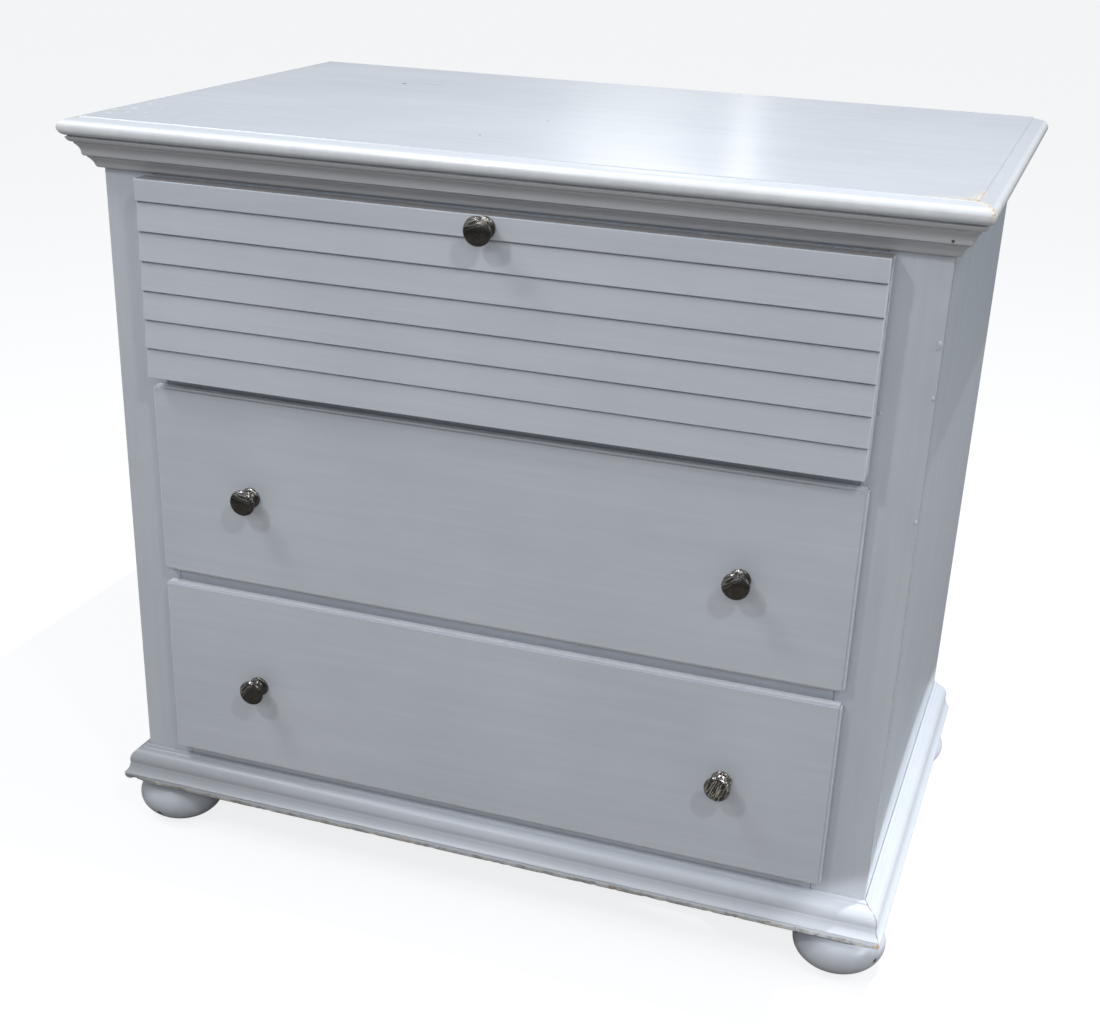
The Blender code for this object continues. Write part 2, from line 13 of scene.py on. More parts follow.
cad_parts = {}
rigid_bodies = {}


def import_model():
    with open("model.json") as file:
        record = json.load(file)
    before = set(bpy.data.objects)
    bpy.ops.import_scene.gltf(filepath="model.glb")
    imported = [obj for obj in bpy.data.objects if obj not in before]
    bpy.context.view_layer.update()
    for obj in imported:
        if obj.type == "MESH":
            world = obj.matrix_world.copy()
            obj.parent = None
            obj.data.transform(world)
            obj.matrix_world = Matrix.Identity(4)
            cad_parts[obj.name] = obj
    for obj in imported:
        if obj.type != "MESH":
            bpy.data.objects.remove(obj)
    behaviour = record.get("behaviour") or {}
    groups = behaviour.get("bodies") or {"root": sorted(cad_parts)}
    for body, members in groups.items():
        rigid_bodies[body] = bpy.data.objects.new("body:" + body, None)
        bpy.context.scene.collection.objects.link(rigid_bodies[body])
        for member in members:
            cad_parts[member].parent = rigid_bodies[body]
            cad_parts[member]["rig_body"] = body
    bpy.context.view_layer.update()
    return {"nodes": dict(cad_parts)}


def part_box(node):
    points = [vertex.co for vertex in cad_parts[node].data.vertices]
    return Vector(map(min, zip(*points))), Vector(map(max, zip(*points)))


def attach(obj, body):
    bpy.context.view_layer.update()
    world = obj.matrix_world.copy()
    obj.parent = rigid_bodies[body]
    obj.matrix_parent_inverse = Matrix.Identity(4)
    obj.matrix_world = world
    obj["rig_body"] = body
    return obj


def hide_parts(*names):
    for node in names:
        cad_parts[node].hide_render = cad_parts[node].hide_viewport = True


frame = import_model()

MM = 0.001
NODES = frame["nodes"]


def low(node):
    """Lowest corner of a CAD node's box."""
    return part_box(node)[0]


def high(node):
    """Highest corner of a CAD node's box."""
    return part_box(node)[1]


# Planes of the body that the mouldings and the top are measured from.
SIDE = high("side_right").x
FRONT = low("stile_left").y
BACK = high("side_right").y
TOP_LOW = low("top_panel").z
TOP_HIGH = high("top_panel").z
CROWN_HIGH = high("crown_front").z
CROWN_LOW = low("crown_front").z
BASE_LOW = low("base_moulding_front").z
# How far the back of each moulding stays out from the boards behind it.
GAP = 0.3 * MM
PLAIN_IOR = 1.5


# ---- shader graphs -------------------------------------------------------
class Graph:
    """A material under construction: adds nodes by type and links their inputs."""

    def __init__(self, name):
        self.material = bpy.data.materials.new(name)
        self.material.use_nodes = True
        self.tree = self.material.node_tree
        self.shader = self.tree.nodes["Principled BSDF"]
        self.place = self.add("TexCoord").outputs["Object"]

    def connect(self, socket, value):
        if isinstance(value, bpy.types.NodeSocket):
            self.tree.links.new(value, socket)
        else:
            socket.default_value = value

    def add(self, kind, options=None, **inputs):
        node = self.tree.nodes.new("ShaderNode" + kind)
        for key, value in (options or {}).items():
            setattr(node, key, value)
        for key, value in inputs.items():
            self.connect(node.inputs[key.replace("_", " ")], value)
        return node

    def noise(self, scale, detail=3.0, roughness=0.5, stretch=None, offset=(0, 0, 0)):
        """Noise in object space; stretch multiplies the scale along each axis."""
        place = self.place
        if stretch or any(offset):
            place = self.add("Mapping", Vector=place, Scale=stretch or (1, 1, 1),
                             Location=offset).outputs["Vector"]
        made = self.add("TexNoise", Vector=place, Scale=scale, Detail=detail, Roughness=roughness)
        return made.outputs[0]

    def ramp(self, value, low_in, high_in, low_out=0.0, high_out=1.0, soft=False):
        options = {"interpolation_type": "SMOOTHSTEP" if soft else "LINEAR"}
        made = self.add("MapRange", options, Value=value, From_Min=low_in, From_Max=high_in,
                        To_Min=low_out, To_Max=high_out)
        return made.outputs[0]

    def math(self, operation, first, second=0.0):
        made = self.add("Math", {"operation": operation})
        self.connect(made.inputs[0], first)
        self.connect(made.inputs[1], second)
        return made.outputs[0]

    def mix(self, share, first, second):
        """Mix of two colours."""
        made = self.add("Mix", {"data_type": "RGBA"})
        for index, value in ((0, share), (6, first), (7, second)):
            self.connect(made.inputs[index], value)
        return made.outputs[2]

    def attribute(self, name):
        return self.add("Attribute", {"attribute_name": name}).outputs["Fac"]

    def bump(self, height, distance, strength=1.0, normal=None):
        made = self.add("Bump", Height=height, Distance=distance, Strength=strength)
        if normal:
            self.connect(made.inputs["Normal"], normal)
        return made.outputs["Normal"]

    def spots(self, places):
        """1 inside any of the spheres (x, y, z, radius), ragged at the rim, else 0."""
        rim = self.ramp(self.noise(900, 2), NOISE_LOW, NOISE_HIGH, -0.45, 0.45)
        found = None
        for x, y, z, radius in places:
            away = self.add("VectorMath", {"operation": "DISTANCE"})
            self.connect(away.inputs[0], self.place)
            self.connect(away.inputs[1], (x, y, z))
            share = self.math("DIVIDE", away.outputs["Value"], radius)
            found = share if found is None else self.math("MINIMUM", found, share)
        return self.ramp(self.math("ADD", found, rim), 0.85, 1.0, 1.0, 0.0)

    def finish(self, colour, roughness, normal=None, **shader_values):
        self.connect(self.shader.inputs["Base Color"], colour)
        self.connect(self.shader.inputs["Roughness"], roughness)
        if normal:
            self.connect(self.shader.inputs["Normal"], normal)
        for key, value in shader_values.items():
            self.shader.inputs[key.replace("_", " ")].default_value = value
        return self.material


def along(axis, lengthwise, across):
    """Scale vector that stretches a texture along one axis, as brush marks or grain run."""
    return tuple(lengthwise if letter == axis else across for letter in "xyz")


# Paint and what shows through it, as linear colours.
PAINT_LIGHT = (0.600, 0.640, 0.700, 1)
PAINT_SHADE = (0.545, 0.585, 0.645, 1)
PAINT_BRISTLE = (0.700, 0.740, 0.790, 1)
PAINT_STREAK = (0.500, 0.535, 0.590, 1)
# Painted shade: a darker paint that stands in for shade.
PAINT_SHADED = (0.300, 0.315, 0.340, 1)
# Painted highlight: a paler paint that stands in for light catching the edges.
PAINT_HIGHLIGHT = (0.860, 0.890, 0.920, 1)
PAINT_THIN = (0.74, 0.74, 0.70, 1)
UNDERCOAT = (0.76, 0.82, 0.76, 1)
BARE = (0.74, 0.69, 0.58, 1)
BARE_DARK = (0.47, 0.36, 0.22, 1)
# Dark colour for cracks, which also stands in as painted shade in gaps.
DIRT_AND_SHADE = (0.16, 0.145, 0.13, 1)
BLACK_SPECK = (0.035, 0.03, 0.028, 1)
# The middle part of a noise's range, where nearly all its values are.
NOISE_LOW = 0.3
NOISE_HIGH = 0.7


def ragged_rim(g, mark, noise_scale, noise_roughness, amount):
    """The mesh's own mark with a noise added, so that its rim is ragged."""
    rough = g.noise(noise_scale, 4, noise_roughness)
    return g.math("ADD", g.attribute(mark), g.ramp(rough, NOISE_LOW, NOISE_HIGH, -amount, amount))


def painted(name, axis, gloss=0.23, dark_spots=(), chips=(), texture=1.0, streaks=0.14,
            tint=(1, 1, 1)):
    """Satin paint brushed on along one axis, worn through where the mesh says so.

    The mesh's marks are wear (down to the wood), edge (a painted highlight: paler paint where light
    catches edges), a mark for painted shade (darker paint), and a mark that darkens the paint: in the
    open mitre's crack, along the underside of the base lip, and as painted shade in the gap above the
    flap.
    """
    g = Graph(name)
    shade, light, bristled, streaked = [
        [value * share for value, share in zip(paint, tint)] + [1]
        for paint in (PAINT_SHADE, PAINT_LIGHT, PAINT_BRISTLE, PAINT_STREAK)]
    clouds = g.noise(5.5, 3, 0.55)
    brush = g.noise(1, 4, 0.6, along(axis, 5, 130))
    bristle = g.noise(1, 3, 0.6, along(axis, 14, 520))
    pores = g.noise(1, 2, 0.5, along(axis, 9, 210), (3, 7, 5))
    drawn = g.noise(1, 2, 0.5, along(axis, 2.2, 46), (1, 4, 2))
    tone = g.math("ADD", g.math("MULTIPLY", clouds, 0.6), g.math("MULTIPLY", brush, 0.4))
    colour = g.mix(g.ramp(tone, 0.36, 0.64), shade, light)
    colour = g.mix(g.ramp(bristle, 0.60, 0.78, 0, 0.35), colour, bristled)
    colour = g.mix(g.ramp(drawn, 0.38, 0.62, 0, streaks), colour, streaked)
    # Painted shade: darker paint where the mesh's shade mark is set.
    colour = g.mix(g.attribute("painted_shade"), colour, PAINT_SHADED)
    # Painted highlight: paler paint on edges, where the mesh's edge mark is set.
    patchy = g.ramp(g.noise(60, 3), NOISE_LOW, NOISE_HIGH, 0.7, 1.0)
    colour = g.mix(g.math("MULTIPLY", g.attribute("edge"), patchy), colour, PAINT_HIGHLIGHT)

    worn = ragged_rim(g, "wear", 420, 0.65, 0.45)
    through = g.ramp(worn, 0.62, 0.72)
    colour = g.mix(g.math("MULTIPLY", g.ramp(worn, 0.30, 0.62), 0.35), colour, PAINT_THIN)
    wood = g.mix(g.ramp(g.noise(160, 3), 0.35, 0.65), BARE_DARK, BARE)
    colour = g.mix(through, colour, wood)
    # Darker in the open mitre's crack and under the base lip, and painted shade in the gap above the
    # flap.
    grime_and_shade_share = ragged_rim(g, "grime_and_shade", 90, 0.6, 0.4)
    colour = g.mix(g.ramp(grime_and_shade_share, 0.45, 1.1, 0, 0.75), colour, DIRT_AND_SHADE)
    if chips:
        colour = g.mix(g.math("MULTIPLY", g.spots(chips), 0.9), colour, UNDERCOAT)
    if dark_spots:
        colour = g.mix(g.math("MULTIPLY", g.spots(dark_spots), 0.92), colour, BLACK_SPECK)

    uneven = min(1.0, texture)
    roughness = g.ramp(g.noise(38, 3, 0.6), NOISE_LOW, NOISE_HIGH,
                       gloss - 0.02 * uneven, gloss + 0.035 * uneven)
    roughness = g.math("MAXIMUM", roughness, g.math("MULTIPLY", through, 0.75))
    height = g.math("ADD", g.math("MULTIPLY", brush, 0.6), g.math("MULTIPLY", bristle, 0.25))
    height = g.math("ADD", height, g.math("MULTIPLY", pores, 0.3))
    height = g.math("SUBTRACT", height, g.math("MULTIPLY", through, 0.9))
    normal = g.bump(height, 0.30 * MM, 0.26 * texture)
    normal = g.bump(g.noise(26, 2), 0.50 * MM, 0.16 * texture, normal)
    return g.finish(colour, roughness, normal, IOR=PLAIN_IOR)


def wooden(name, axis, pale, deep, seed=0.0):
    """Planed wood with growth rings drawn out along one axis."""
    g = Graph(name)
    warp = g.noise(3, 3, 0.5, along(axis, 0.5, 4), (seed, seed, seed))
    rings = g.add("TexNoise", Vector=g.add("Mapping", Vector=g.place, Scale=along(axis, 1.1, 24),
                                           Location=(seed, 2 * seed, seed)).outputs["Vector"],
                  Scale=1.0, Detail=3.0, Distortion=0.6).outputs[0]
    bands = g.math("SINE", g.math("MULTIPLY", g.math("ADD", rings, warp), 22))
    fibre = g.noise(1, 4, 0.65, along(axis, 12, 900), (seed, 0, 0))
    tone = g.math("ADD", g.ramp(bands, -1, 1, 0, 0.34), g.math("MULTIPLY", fibre, 0.80))
    colour = g.mix(g.ramp(tone, 0.25, 0.85), deep, pale)
    colour = g.mix(g.ramp(g.noise(6, 2), 0.35, 0.7, 0, 0.25), colour, deep)
    normal = g.bump(fibre, 0.15 * MM, 0.35)
    return g.finish(colour, g.ramp(fibre, NOISE_LOW, NOISE_HIGH, 0.5, 0.66), normal, IOR=PLAIN_IOR)


PATINA_DARK = (0.052, 0.049, 0.046, 1)
PATINA_PALE = (0.105, 0.100, 0.095, 1)
PEWTER_LINES = (0.30, 0.28, 0.26, 1)
PEWTER_BRIGHT = (0.80, 0.79, 0.76, 1)
ZINC_DARK = (0.46, 0.45, 0.43, 1)
ZINC_PALE = (0.60, 0.60, 0.60, 1)


def pewter(name, all_over):
    """Dark patina over bright brushed pewter; the brush lines run along the knob's own X. Unless
    all_over, the bright pewter is a painted highlight on the upper side of the head.
    """
    g = Graph(name)
    lines = g.noise(1, 3, 0.7, (22, 1500, 1500))
    strokes = g.noise(1, 1, 0.5, (24, 760, 760), (2, 5, 1))
    stain = g.noise(120, 3, 0.6)
    colour = g.mix(g.ramp(stain, NOISE_LOW, NOISE_HIGH), PATINA_DARK, PATINA_PALE)
    colour = g.mix(g.ramp(lines, 0.52, 0.70, 0, 0.45), colour, PEWTER_LINES)
    across = g.add("SeparateXYZ", Vector=g.place).outputs["Y"]
    # Painted highlight: unless all_over, bright pewter shows only on the upper part of the head, for
    # the glint of overhead lights; all over, it is rubbed metal.
    start, full = (-30 * MM, -15 * MM) if all_over else (2 * MM, 11 * MM)
    rubbed = g.ramp(across, start, full, soft=True)
    rubbed = g.math("MULTIPLY", g.ramp(strokes, 0.50, 0.58), rubbed)
    colour = g.mix(g.math("MULTIPLY", rubbed, 0.75), colour, PEWTER_BRIGHT)
    height = g.math("ADD", lines, g.math("MULTIPLY", strokes, 0.8))
    normal = g.bump(height, 0.10 * MM, 0.6)
    return g.finish(colour, g.ramp(stain, NOISE_LOW, NOISE_HIGH, 0.20, 0.32), normal, Metallic=1.0)


def steel():
    """Zinc-plated hardware, faintly mottled."""
    g = Graph("zinc_steel")
    mottle = g.noise(260, 3, 0.6)
    colour = g.mix(g.ramp(mottle, NOISE_LOW, NOISE_HIGH), ZINC_DARK, ZINC_PALE)
    scratches = g.noise(1, 3, 0.6, (40, 900, 900))
    normal = g.bump(scratches, 0.05 * MM, 0.4)
    return g.finish(colour, g.ramp(mottle, NOISE_LOW, NOISE_HIGH, 0.28, 0.42), normal, Metallic=1.0)


# Each wood's pale and deep colours.
PINE = ((0.68, 0.50, 0.31, 1), (0.54, 0.37, 0.21, 1))
PLY = ((0.60, 0.46, 0.31, 1), (0.47, 0.34, 0.21, 1))
HARD = ((0.50, 0.33, 0.19, 1), (0.33, 0.20, 0.10, 1))


def on_top(marks):
    """Marks (x, y, radius) in millimetres, laid on the top as (x, y, z, radius) in metres."""
    return tuple((x * MM, y * MM, TOP_HIGH, radius * MM) for x, y, radius in marks)


# Marks in the paint: black specks and a dotted scratch on the top, chips near its left front
# corner, a nail hole in the crown and a speck on each front foot.
SCRATCH = [(-262 + 4.5 * k, 172.4 - 0.5 * k, 1.1) for k in range(6)]
TOP_SPECKS = on_top([(-285.4, 158.8, 3.0), (-53.5, -170.2, 1.6), (-25.5, -38.6, 1.6)] + SCRATCH)
TOP_CHIPS = on_top([(-446.5, -198.6, 4.0), (-436.8, -227.6, 2.4), (-449.4, -163.7, 3.0),
                    (-452, -240, 3.0), (-403.4, -245, 2.0), (-425, -180, 1.8), (-418, -223, 2.2),
                    (-392, -205, 1.4), (-459, -218, 3.0), (-365, -235, 1.6)])
NAIL_HOLE = ((SIDE - 2.2 * MM, FRONT - 16.35 * MM, CROWN_HIGH - 18.3 * MM, 1.6 * MM),)
FOOT_SPECKS = ((-429.3 * MM, -281.2 * MM, 19.8 * MM, 3.6 * MM),
               (470.0 * MM, -258.0 * MM, 29.1 * MM, 3.2 * MM))

# Painted shade and light: the crown's paint is darker and warmer for the shade under the top board,
# and the sides' paint is a little lighter and bluer than the front's for the light on them.
CROWN_SHADE_TINT = (0.89, 0.85, 0.82)
SIDE_LIGHT_TINT = (1.06, 1.10, 1.12)
TRIM_GLOSS = 0.34

LOOKS = {
    "top": painted("paint_top", "x", 0.25, TOP_SPECKS, TOP_CHIPS, texture=0.10),
    "side": painted("paint_sides", "z", 0.30, texture=0.3, streaks=0.45, tint=SIDE_LIGHT_TINT),
    "foot": painted("paint_feet", "x", 0.36, FOOT_SPECKS),
    "trim_x": painted("paint_trim_x", "x", TRIM_GLOSS),
    "trim_y": painted("paint_trim_y", "y", TRIM_GLOSS),
    "crown_x": painted("paint_crown_x", "x", TRIM_GLOSS, NAIL_HOLE, tint=CROWN_SHADE_TINT),
    "crown_y": painted("paint_crown_y", "y", TRIM_GLOSS, tint=CROWN_SHADE_TINT),
    "x": painted("paint_along_x", "x"),
    "y": painted("paint_along_y", "y"),
    "z": painted("paint_along_z", "z"),
    "pine_x": wooden("pine_along_x", "x", *PINE, seed=1.7),
    "pine_y": wooden("pine_along_y", "y", *PINE, seed=4.1),
    "ply": wooden("ply_panel", "x", *PLY, seed=8.3),
    "ply_z": wooden("ply_back", "z", *PLY, seed=2.9),
    "hard": wooden("hardwood_runner", "y", *HARD, seed=6.2),
    "pewter": pewter("pewter_brushed", False),
    "pewter_scratched": pewter("pewter_scratched", True),
    "steel": steel(),
}


# ---- mesh tools ----------------------------------------------------------
def stand_in(node, shape, look, at=None, sharp=38):
    """Make a bmesh the shown piece for a CAD node and let it ride on the node's body."""
    bmesh.ops.recalc_face_normals(shape, faces=shape.faces)
    name = "fine_" + node
    mesh = bpy.data.meshes.new(name)
    shape.to_mesh(mesh)
    shape.free()
    mesh.materials.append(LOOKS[look])
    mesh.shade_smooth()
    mesh.set_sharp_from_angle(angle=math.radians(sharp))
    piece = bpy.data.objects.new(name, mesh)
    bpy.context.scene.collection.objects.link(piece)
    if at is not None:
        piece.matrix_world = at
    weighted = piece.modifiers.new("even_normals", "WEIGHTED_NORMAL")
    weighted.keep_sharp = True
    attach(piece, NODES[node]["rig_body"])
    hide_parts(node)
    return piece


def rounded_block(lowest, highest, radius, segments=3):
    """A bmesh box with all its edges rounded over."""
    box = bmesh.new()
    bmesh.ops.create_cube(box, size=1.0)
    for vert in box.verts:
        share = vert.co + Vector((0.5, 0.5, 0.5))
        vert.co = [a + (b - a) * t for a, b, t in zip(lowest, highest, share)]
    bmesh.ops.bevel(box, geom=box.edges[:], offset=radius, segments=segments, affect="EDGES")
    return box


def rounded(points, radius, steps=4, closed=True):
    """Outline with each corner rounded over by a short curve."""
    count = len(points)
    made = []
    for i, point in enumerate(points):
        here = Vector(point)
        if not closed and i in (0, count - 1):
            made.append(tuple(here))
            continue
        back = Vector(points[i - 1]) - here
        ahead = Vector(points[(i + 1) % count]) - here
        bend = math.pi - back.angle(ahead)
        if bend < math.radians(14):
            made.append(tuple(here))
            continue
        reach = min(radius * math.tan(bend / 2), 0.45 * back.length, 0.45 * ahead.length)
        start = here + back.normalized() * reach
        end = here + ahead.normalized() * reach
        for k in range(steps + 1):
            t = k / steps
            made.append(tuple(start * (1 - t) ** 2 + here * 2 * t * (1 - t) + end * t ** 2))
    return made


def arc(centre, radius, start, end, steps):
    """Points on a circle between two angles in degrees."""
    angles = [math.radians(start + (end - start) * k / steps) for k in range(steps + 1)]
    return [(centre[0] + radius * math.cos(a), centre[1] + radius * math.sin(a)) for a in angles]


def skin(rings):
    """Faces between equal closed rings of points, with both ends capped."""
    made = bmesh.new()
    loops = [[made.verts.new(point) for point in ring] for ring in rings]
    count = len(rings[0])
    for ring, following in zip(loops, loops[1:]):
        for i in range(count):
            j = (i + 1) % count
            made.faces.new((ring[i], ring[j], following[j], following[i]))
    made.faces.new(reversed(loops[0]))
    made.faces.new(loops[-1])
    return made


def lathe(profile, segments):
    """Turn (radius, height) points about Z; points on the axis become poles."""
    made = bmesh.new()
    rings = []
    for radius, height in profile:
        if radius < 1e-7:
            rings.append([made.verts.new((0, 0, height))])
            continue
        turns = [2 * math.pi * k / segments for k in range(segments)]
        rings.append([made.verts.new((radius * math.cos(a), radius * math.sin(a), height))
                      for a in turns])
    for lower, upper in zip(rings, rings[1:]):
        for i in range(segments):
            j = (i + 1) % segments
            corners = (lower[i % len(lower)], lower[j % len(lower)],
                       upper[j % len(upper)], upper[i % len(upper)])
            made.faces.new(list(dict.fromkeys(corners)))
    return made


def spread(count, ends_close=0.0):
    """Shares from 0 to 1, drawn together near both ends by ends_close."""
    made = []
    for k in range(count + 1):
        t = k / count
        made.append(t - ends_close * math.sin(2 * math.pi * t) / (2 * math.pi))
    return made


def step(value, start, end):
    """0 below start, 1 above end, smooth between; start may be above end."""
    t = min(1.0, max(0.0, (value - start) / (end - start)))
    return t * t * (3 - 2 * t)


def hand_wave(point, size, amount):
    """Slow unevenness of sanded and brushed wood at a point."""
    return amount * noise.noise(Vector(point) / size)


def set_mark(shape, rule, mark="wear"):
    """Store rule(position), from 0 to about 1, on every vertex as a mark for the paint."""
    layer = shape.verts.layers.float.new(mark)
    for vert in shape.verts:
        vert[layer] = rule(vert.co)


# ---- profiles, as (projection from the body, height), from the top down --
def top_edge():
    """A small step down from the face, a slope that swells a little, and a round nose."""
    nose_radius = 8.2 * MM
    nose = arc((25.8 * MM, TOP_LOW + nose_radius), nose_radius, 64, -74, 18)
    slope_end = nose[0]
    slope_start = (16.4 * MM, TOP_HIGH - 1.25 * MM)
    points = [(15.3 * MM, TOP_HIGH), (15.9 * MM, TOP_HIGH - 0.95 * MM), slope_start]
    for k in range(1, 6):
        t = k / 6
        points.append((slope_start[0] + (slope_end[0] - slope_start[0]) * t,
                       slope_start[1] + (slope_end[1] - slope_start[1]) * t
                       + 0.35 * MM * math.sin(math.pi * t)))
    return points + nose + [(25.5 * MM, TOP_LOW)]


def crown_edge():
    """Fillet and lip under the top, then two coves with a step between them."""
    high_z = CROWN_HIGH
    points = [(GAP, high_z), (26.0 * MM, high_z), (26.1 * MM, high_z - 0.8 * MM)]
    points += [(27.9 * MM, high_z - 1.0 * MM), (27.3 * MM, high_z - 2.8 * MM)]
    points += [(26.2 * MM, high_z - 4.6 * MM), (24.4 * MM, high_z - 6.1 * MM)]
    points += [(21.6 * MM, high_z - 6.9 * MM)]
    points += arc((28.6 * MM, high_z - 18.3 * MM), 12.1 * MM, 126, 178, 12)
    points += [(16.1 * MM, high_z - 20.4 * MM), (14.5 * MM, high_z - 21.5 * MM)]
    points += [(12.2 * MM, high_z - 22.1 * MM)]
    points += arc((21.8 * MM, high_z - 35.5 * MM), 15.6 * MM, 127, 166, 9)
    points += [(5.8 * MM, high_z - 33.3 * MM), (4.5 * MM, high_z - 34.1 * MM)]
    return rounded(points + [(GAP, CROWN_LOW + 0.05 * MM)], 0.8 * MM)


def base_edge():
    """Fillet, quarter round, cove and lip, from the top down."""
    low_z = BASE_LOW
    points = [(GAP, low_z + 46.3 * MM), (4.4 * MM, low_z + 44.5 * MM), (5.0 * MM, low_z + 42.4 * MM)]
    points += arc((4.2 * MM, low_z + 27.0 * MM), 14.5 * MM, 80, -8, 16)
    points += [(18.4 * MM, low_z + 23.3 * MM)]
    points += arc((33.5 * MM, low_z + 22.6 * MM), 14.7 * MM, 184, 236, 9)
    points += [(23.0 * MM, low_z + 10.8 * MM), (24.4 * MM, low_z + 8.4 * MM)]
    points += [(24.9 * MM, low_z + 6.0 * MM), (24.4 * MM, low_z + 2.5 * MM)]
    return rounded(points + [(22.2 * MM, low_z + 0.2 * MM), (GAP, low_z)], 0.9 * MM)


# ---- carcass pieces ------------------------------------------------------
TINY = 1e-6
# Distance of the top's edges from its middle, roughly, which turns a pull into a share.
TOP_REACH = 0.4
# Where the top's moulded edge steps down from its face, as a projection.
TOP_STEP = 15.6 * MM
TOP_SIDE_STEPS = 44
TOP_FRONT_STEPS = 72
OPEN_MITRE = 0.12 * MM
MOULDING_STEPS = {0: 300, -1: 150, 1: 150}
# Radius on the arrises of sawn boards.
SOFT_EDGE = 0.9 * MM


def near(value, target, reach):
    """1 at the target, falling to 0 at reach from it."""
    return max(0.0, 1.0 - abs(value - target) / reach)


def projection(point):
    """How far a point stands out from the body, at the front or at a side."""
    return max(abs(point.x) - SIDE, FRONT - point.y)


def off_right_mitre(point):
    """Distance from the plane of the front right mitre."""
    return abs(point.x - SIDE - (FRONT - point.y)) / math.sqrt(2)


def top_wear(point):
    """Rubbed step line, mitres and corners of the top."""
    out = projection(point)
    right = step(point.x, 0.36, 0.455) * step(point.y, -0.14, -0.25)
    left = step(point.x, -0.36, -0.46) * step(point.y, -0.12, -0.24)
    step_line = near(out, TOP_STEP, 2.8 * MM)
    inside = near(out, 12 * MM, 8 * MM) * step(point.x, 0.40, 0.46) * step(point.y, -0.19, -0.262)
    corner = near(abs(point.x) - SIDE - (FRONT - point.y), 0, 4.0 * MM)
    on_nose = step(out, 15 * MM, 17 * MM) * step(point.y, -0.2, -0.262)
    rubbed = step_line * (0.10 + 0.66 * right + 0.28 * left)
    return max(rubbed, 0.80 * inside, corner * on_nose * (0.62 if point.x < 0 else 0.92))


def nose_highlight(point):
    """Painted highlight: the moulded nose's paint is paler where light catches it."""
    height = point.z - TOP_LOW
    return 0.75 * step(projection(point), 27 * MM, 32 * MM) * step(height, 1.5 * MM, 6 * MM)


def top_path(reach):
    """Points round the left, front and right edges of the top, with close points at the mitres."""
    mitre_step = 1.1 * MM
    half = SIDE + reach
    y_front = FRONT - reach
    path = [(-half, BACK + (y_front - BACK) * t) for t in spread(TOP_SIDE_STEPS)[:-1]]
    path += [(-half, y_front + mitre_step), (-half, y_front), (-half + mitre_step, y_front)]
    path += [(-half + 2 * half * t, y_front) for t in spread(TOP_FRONT_STEPS)[1:-1]]
    path += [(half - mitre_step, y_front), (half, y_front), (half, y_front + mitre_step)]
    return path + [(half, y_front + (BACK - y_front) * t) for t in spread(TOP_SIDE_STEPS)[1:]]


def build_top():
    """Board with a moulded edge on three sides, its corners mitred by a fine line."""
    flat_rings = [(reach * MM, TOP_HIGH) for reach in (-60, -5, 10, 13.4)]
    rings = []
    for reach, z in flat_rings + top_edge():
        ring = []
        for x, y in top_path(reach):
            wave = hand_wave((x, y, z), 0.055, 0.10 * MM) * step(reach, 15.4 * MM, 20 * MM)
            at_mitre = abs(abs(x) - SIDE - reach) < TINY and abs(y - FRONT + reach) < TINY
            pull = 0.8 * MM * step(reach, 16 * MM, 19 * MM) if at_mitre else 0.0
            share = 1 - (pull + abs(wave)) / TOP_REACH
            ring.append((x * share, y if y >= BACK - TINY else y * share, z))
        rings.append(ring)
    shape = skin(rings)
    set_mark(shape, top_wear)
    set_mark(shape, nose_highlight, "edge")
    stand_in("top_panel", shape, "top", sharp=30)


def moulding_point(side, t, p):
    """Place (x, y) at share t along the front (side 0) or a side (-1, 1), projecting by p."""
    if side == 0:
        return (SIDE + p - OPEN_MITRE) * (2 * t - 1), FRONT - p
    return side * (SIDE + p), FRONT - p + OPEN_MITRE + (BACK - FRONT + p - OPEN_MITRE) * t


def build_moulding(node, edge, look, chip=None, marks=None):
    """Three mitred lengths of moulding.

    chip(p, point) is how deep the profile is worn back there, and marks(side) gives the
    rules for the paint's marks on that length.
    """
    for side, word in ((0, "front"), (-1, "left"), (1, "right")):
        rings = []
        for t in spread(MOULDING_STEPS[side], 0.45):
            ring = []
            for p, z in edge:
                x, y = moulding_point(side, t, p)
                here = Vector((x, y, z))
                wave = hand_wave((p * 3, t * 9.0 + side * 4, z * 2), 0.55, 0.16 * MM)
                cut = corner_gap(here) + abs(wave) * step(p, 1 * MM, 5 * MM)
                if chip:
                    cut += chip(p, here)
                if side == 0:
                    y += cut
                else:
                    x -= side * cut
                ring.append((x, y, z + (0.4 * cut if p > 12 * MM else 0.0)))
            rings.append(ring)
        shape = skin(rings)
        for mark, rule in (marks(side) if marks else {}).items():
            set_mark(shape, rule, mark)
        stand_in(f"{node}_{word}", shape, look + ("_x" if side == 0 else "_y"), sharp=32)


def corner_gap(point):
    """The joint of the mitre has opened at the front right corner."""
    return 0.9 * MM * step(off_right_mitre(point), 1.6 * MM, 0.2 * MM)


def lip_chip(p, point):
    """Nibbled lower lip of the base moulding, worst at the front corners."""
    lip = step(p, 19 * MM, 23 * MM) * step(point.z, BASE_LOW + 9 * MM, BASE_LOW + 1 * MM)
    ragged = noise.noise(point * 160) + 0.6 * noise.noise(point * 420)
    left = step(point.x, -0.42, -0.468)
    right = step(point.x, 0.445, 0.472) * step(point.y, -0.22, -0.275)
    bite = step(ragged, 0.05, 0.75) * (1.5 + 1.6 * left + 1.0 * right) * MM
    corner_round = 3.2 * MM * left * left * step(point.y, -0.22, -0.27)
    return lip * (bite + corner_round)


# Broken places along the open mitre of the base: (projection, height, radius).
MITRE_CHIPS = ((17.0 * MM, 19.0 * MM, 2.6 * MM), (21.0 * MM, 11.5 * MM, 3.4 * MM),
               (24.0 * MM, 5.0 * MM, 7.5 * MM))


